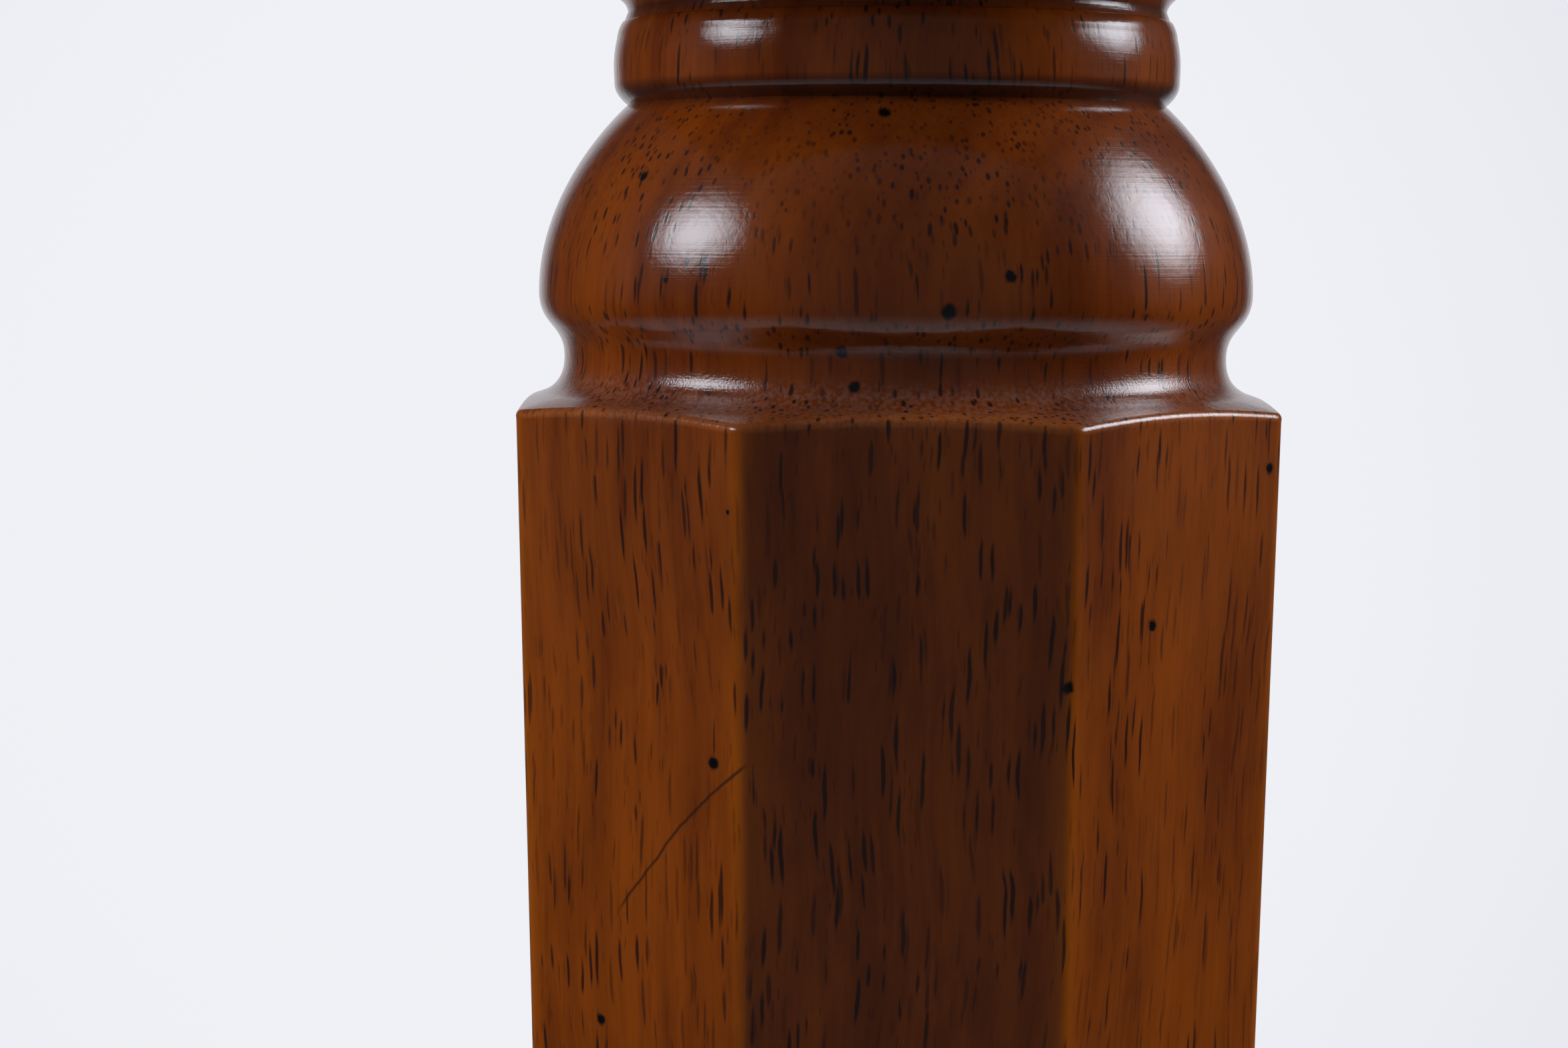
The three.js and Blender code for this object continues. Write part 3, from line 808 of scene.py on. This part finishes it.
def make_wing_nut(end):
    """A cast wing nut: hub and wings melted together, smoothed, then bored."""
    name = f"wing_nut_{end}"
    low, high = along_corner(name)
    box_low, box_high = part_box(name)
    tip = (box_high.z - box_low.z) / 2 / MM - 0.15
    rise = high - low - 0.4
    hub = rounded([(0, 0), (HUB_BASE, 0), (HUB_TOP, HUB_HEIGHT), (0, HUB_HEIGHT)], 1.0)
    nut = turned(name + "_cast", hub, 64)
    whole = bmesh.new()
    whole.from_mesh(nut.data)
    outline = wing_outline(tip, rise)
    half = WING_THICKNESS / 2 * MM
    for side in (-1, 1):
        front = [whole.verts.new((side * r * MM, -half, z * MM)) for r, z in outline]
        back = [whole.verts.new((side * r * MM, half, z * MM)) for r, z in outline]
        whole.faces.new(front if side == 1 else front[::-1])
        whole.faces.new(back[::-1] if side == 1 else back)
        for i in range(len(outline)):
            j = (i + 1) % len(outline)
            quad = [front[i], back[i], back[j], front[j]]
            whole.faces.new(quad if side == 1 else quad[::-1])
    bmesh.ops.recalc_face_normals(whole, faces=whole.faces)
    whole.to_mesh(nut.data)
    whole.free()
    melt = nut.modifiers.new("melt", "REMESH")
    melt.mode = "VOXEL"
    melt.voxel_size = VOXEL * MM
    soften = nut.modifiers.new("soften", "SMOOTH")
    soften.factor = 0.5
    soften.iterations = 10
    apply_modifiers(nut)
    bore(nut, BOLT_BORE, -1, rise + 1)
    nut.data.transform(corner_place(name) @ Matrix.Translation((0, 0, low * MM)))
    nut.data.shade_smooth()
    nut.data.set_sharp_from_angle(angle=math.radians(50))
    return nut


def make_insert():
    """The threaded insert: a flange with a hexagon socket, and a coarse thread outside."""
    low, high = (c.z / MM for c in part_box("foot_insert"))
    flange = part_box("foot_insert")[1].x / MM
    angles = even_angles(96)
    ones = np.ones(len(angles))
    hexagon = polygon_radius(angles, KEY_APOTHEM, 6, 0.3)
    socket_end = low + SOCKET_DEPTH
    rings = [(hexagon, ones * (low + 0.15)), (hexagon + 0.15, ones * low)]
    rings += level_rings(angles, [(flange - 0.4, low), (flange - 0.1, low + 0.15), (flange, low + 0.45)])
    rings += level_rings(angles, [(flange, low + 0.9), (flange - 0.2, low + 1.2), (5.6, low + 1.2)])
    rings += threaded_rings(
        angles, INSERT_OUTER, low + 1.5, high - 0.4, WOOD_PITCH, INSERT_OUTER_DEPTH, 10
    )
    rings += level_rings(angles, [(6.0, high), (INSERT_INNER + 0.3, high), (INSERT_INNER, high - 0.3)])
    rings += level_rings(angles, [(INSERT_INNER, socket_end + 0.4), (INSERT_INNER, socket_end + 0.2)])
    rings += [(hexagon, ones * socket_end)]
    return ring_mesh("foot_insert_threaded", angles, rings, loop=True)


def make_stud():
    """The levelling screw: riveted head, neck, hexagon collar and machine thread."""
    low, high = (c.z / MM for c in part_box("levelling_stud"))
    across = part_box("levelling_stud")[1].x / MM
    base_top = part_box("glide_base")[1].z / MM
    collar_low = base_top + GAP
    collar_high = collar_low + COLLAR_HEIGHT
    angles = even_angles(96)
    ones = np.ones(len(angles))
    hexagon = polygon_radius(angles, across, 6, 0.25)
    washer_face = across - 0.4
    rivet = [(0, low), (RIVET_RADIUS - 1, low), (RIVET_RADIUS - 0.2, low + 0.3), (RIVET_RADIUS, low + 0.7)]
    rivet += [(RIVET_RADIUS, low + 1.3), (RIVET_RADIUS - 0.3, low + 1.6)]
    rings = level_rings(angles, rivet + [(STUD_NECK, low + 1.6), (STUD_NECK, collar_low)])
    for share in np.linspace(0, 1, 9):
        z = collar_low + COLLAR_HEIGHT * share
        from_end = min(share, 1 - share) * COLLAR_HEIGHT
        limit = washer_face + from_end / math.tan(math.radians(30))
        rings.append((soft_min(hexagon, ones * limit, 0.12), ones * z))
    rings += level_rings(angles, [(STUD_RADIUS + 0.1, collar_high), (STUD_RADIUS - 0.25, collar_high + 0.4)])
    rings += threaded_rings(angles, STUD_RADIUS, collar_high + 0.5, high - 0.6, THREAD_PITCH, THREAD_DEPTH)
    rings += level_rings(angles, [(STUD_RADIUS - 0.4, high - 0.3), (STUD_RADIUS - 0.8, high), (0, high)])
    stud = ring_mesh("levelling_stud_threaded", angles, rings)
    stud.data.set_sharp_from_angle(angle=math.radians(40))
    return stud


def make_glide_base():
    """The moulded base: a rim round the felt, and a stepped hole that holds the stud's head."""
    low, high = (c.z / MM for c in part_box("glide_base"))
    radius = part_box("glide_base")[1].x / MM
    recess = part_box("glide_felt")[1].x / MM + GAP
    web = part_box("glide_felt")[1].z / MM + GAP
    outline = [
        (RIVET_HOLE, web),
        (recess, web),
        (recess, low),
        (radius, low),
        (radius, high - 2.6),
        (radius - 2.2, high - 0.5),
        (6.5, high),
        (NECK_HOLE, high),
        (NECK_HOLE, web + RIVET_DROP),
        (RIVET_HOLE, web + RIVET_DROP),
    ]
    base = turned("glide_base_moulded", rounded(outline, 0.7, 5, closed=True), 96, loop=True)
    base.data.set_sharp_from_angle(angle=math.radians(60))
    return base


def make_felt():
    """The felt disc: a flat pad with a soft, uneven rim."""
    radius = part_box("glide_felt")[1].x / MM
    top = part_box("glide_felt")[1].z / MM
    count = 120
    angles = even_angles(count)
    rng = np.random.default_rng(7)
    uneven = np.tile(rng.normal(0, 1, count), 3)
    ragged = np.convolve(uneven, np.ones(3) / 3, "same")[count : 2 * count] * FELT_RAGGED
    inner, outer = radius - 3, radius - FELT_CLEAR
    rings = level_rings(angles, [(radius * share, 0) for share in (0, 0.3, 0.6)])
    for r, z in rounded([(inner, 0), (outer, 0), (outer, top), (inner, top)], 0.6, 5):
        at_rim = np.clip((r - radius + 1.2) / 1.2, 0, 1)
        rings.append((np.minimum(r + ragged * at_rim, radius), np.full(count, z)))
    rings += level_rings(angles, [(radius * share, top) for share in (0.6, 0.3, 0)])
    return ring_mesh("glide_felt_pad", angles, rings)


# ---- The studio ----

CAMERA_DISTANCE = 295.3  # from the leg's axis, over the ground
CAMERA_RISE = 16.0  # above the octagon's upper shoulder
CAMERA_AZIMUTH = -1.93  # degrees round the leg from the show face
CAMERA_SWING = 2.03  # degrees that the camera looks to the left of the leg's axis
CAMERA_PITCH = 5.48  # degrees down
CAMERA_ROLL = 0.25
FIELD_WIDTH = 28.54  # degrees
SENSOR = 36.0


def make_camera():
    """The camera, close to the leg's neck and level with it."""
    camera = bpy.data.objects.new("camera", bpy.data.cameras.new("camera"))
    bpy.context.scene.collection.objects.link(camera)
    camera.data.sensor_width = SENSOR
    camera.data.lens = SENSOR / 2 / math.tan(math.radians(FIELD_WIDTH / 2))
    camera.data.clip_start = 0.01
    azimuth = math.radians(CAMERA_AZIMUTH)
    x = CAMERA_DISTANCE * math.sin(azimuth) * MM
    y = -CAMERA_DISTANCE * math.cos(azimuth) * MM
    turn = Matrix.Rotation(azimuth + math.radians(CAMERA_SWING), 4, "Z")
    turn = turn @ Matrix.Rotation(math.radians(90 - CAMERA_PITCH), 4, "X")
    turn = turn @ Matrix.Rotation(math.radians(CAMERA_ROLL), 4, "Z")
    camera.matrix_world = Matrix.Translation((x, y, (HEAD_SHOULDER + CAMERA_RISE) * MM)) @ turn
    bpy.context.scene.camera = camera


DAYLIGHT = (0.88, 0.92, 1.0, 1)


def make_softbox(name, azimuth, elevation, distance, size, power, mirrored=True):
    """A soft light that fades from its middle to its edges and looks at the leg's turned neck.

    Azimuth is in degrees round the leg from -Y towards +X, and lengths are in metres.
    """
    light = bpy.data.lights.new(name, "AREA")
    light.shape = "RECTANGLE"
    light.size, light.size_y = size
    light.energy = power
    light.use_nodes = True
    tree = light.node_tree
    spot = node(tree, "ShaderNodeNewGeometry").outputs["Parametric"]
    off = vector(tree, "LENGTH", vector(tree, "SUBTRACT", spot, (0.5, 0.5, 0)))
    fade = ramp(tree, off, 0.06, 0.5, 1, 0)
    emission = tree.nodes["Emission"]
    tree.links.new(fade, emission.inputs["Strength"])
    emission.inputs["Color"].default_value = DAYLIGHT
    box = bpy.data.objects.new(name, light)
    bpy.context.scene.collection.objects.link(box)
    a, e = math.radians(azimuth), math.radians(elevation)
    back = Vector((math.sin(a) * math.cos(e), -math.cos(a) * math.cos(e), math.sin(e)))
    aim = Vector((0, 0, (HEAD_SHOULDER + 5) * MM))
    turn = back.to_track_quat("Z", "Y").to_matrix().to_4x4()
    box.matrix_world = Matrix.Translation(aim + back * distance) @ turn
    box.visible_camera = False
    box.visible_glossy = mirrored


def make_world():
    """What the leg mirrors: a pale backdrop behind it, and a dim room everywhere else.

    Seen directly, the backdrop is pale all round.
    """
    world = bpy.data.worlds.new("studio")
    bpy.context.scene.world = world
    world.use_nodes = True
    tree = world.node_tree
    tree.nodes.clear()
    toward = node(tree, "ShaderNodeTexCoord").outputs["Generated"]
    axes = node(tree, "ShaderNodeSeparateXYZ", {"Vector": toward}).outputs
    behind = ramp(tree, axes["Y"], 0.84, 0.97)
    dome = ramp(tree, axes["Z"], 0.45, 0.8, 1, 0)
    backdrop = calc(tree, "MULTIPLY", behind, dome)
    front = ramp(tree, axes["Y"], -0.9, -0.55, 1, 0)
    dim = mix(tree, front, (0.02, 0.02, 0.022), (0.085, 0.085, 0.09))
    dim = mix(tree, ramp(tree, axes["Z"], 0.5, 1.0), dim, (0.12, 0.12, 0.13))
    room = mix(tree, backdrop, dim, (0.62, 0.62, 0.66))
    glow = vector(tree, "DOT_PRODUCT", toward, Vector((-0.05, 0.99, -0.1)).normalized())
    seen = mix(tree, ramp(tree, glow, 0.93, 0.985), (0.80, 0.805, 0.86), (0.87, 0.875, 0.915))
    camera_ray = node(tree, "ShaderNodeLightPath").outputs["Is Camera Ray"]
    colour = mix(tree, camera_ray, room, seen)
    background = node(tree, "ShaderNodeBackground", {"Color": colour, "Strength": 1.0})
    output = node(tree, "ShaderNodeOutputWorld")
    tree.links.new(background.outputs[0], output.inputs[0])


FLOOR_RADIUS = 1.2  # metres
FADE_START = 0.15  # metres from the leg's axis


def floor_material():
    """A pale matt floor that melts into the backdrop away from the leg."""
    material, tree, shader = new_material("pale_floor")
    place = node(tree, "ShaderNodeTexCoord").outputs["Object"]
    patches = noise(tree, place, 2.0, 3).outputs["Fac"]
    colour = mix(tree, patches, (0.83, 0.83, 0.84), (0.88, 0.88, 0.89))
    away = vector(tree, "LENGTH", place)
    join(tree, shader, Base_Color=colour, Alpha=ramp(tree, away, FADE_START, FLOOR_RADIUS, 1, 0))
    shader.inputs["Roughness"].default_value = 0.6
    return material


def make_floor():
    mesh = bpy.data.meshes.new("floor")
    rim = [(FLOOR_RADIUS * math.cos(a), FLOOR_RADIUS * math.sin(a), 0) for a in even_angles(128)]
    mesh.from_pydata(rim, [], [list(range(len(rim)))])
    floor = bpy.data.objects.new("floor", mesh)
    bpy.context.scene.collection.objects.link(floor)
    floor.data.materials.append(floor_material())


# ---- The scene ----

make_camera()
make_world()
make_softbox("softbox_left", -72, 26, 1.1, (0.72, 0.68), 19)
make_softbox("softbox_right", 98, 25, 0.9, (0.74, 0.72), 18)
make_softbox("fill_left", -92, 5, 1.1, (0.8, 0.8), 19, mirrored=False)
make_softbox("fill_right", 94, 5, 1.1, (0.8, 0.8), 19, mirrored=False)
make_floor()
bpy.context.scene.view_settings.view_transform = "Standard"

wood, zinc, nylon, felt = wood_material(), zinc_material(), nylon_material(), felt_material()

finish_piece(make_post(), "leg", "lacquered_wood", wood, "leg_post")
finish_piece(make_insert(), "leg", "zinc_plated_steel", zinc, "foot_insert")
finish_piece(make_stud(), "stud", "zinc_plated_steel", zinc, "levelling_stud")
finish_piece(make_glide_base(), "glide", "glide_plastic", nylon, "glide_base")
finish_piece(make_felt(), "glide", "wool_felt", felt, "glide_felt")
for end in ("upper", "lower"):
    finish_piece(make_bolt(end), "leg", "zinc_plated_steel", zinc, f"hanger_bolt_{end}")
    finish_piece(make_washer(end), f"washer_{end}", "zinc_plated_steel", zinc, f"bolt_washer_{end}")
    finish_piece(make_wing_nut(end), f"nut_{end}", "zinc_plated_steel", zinc, f"wing_nut_{end}")
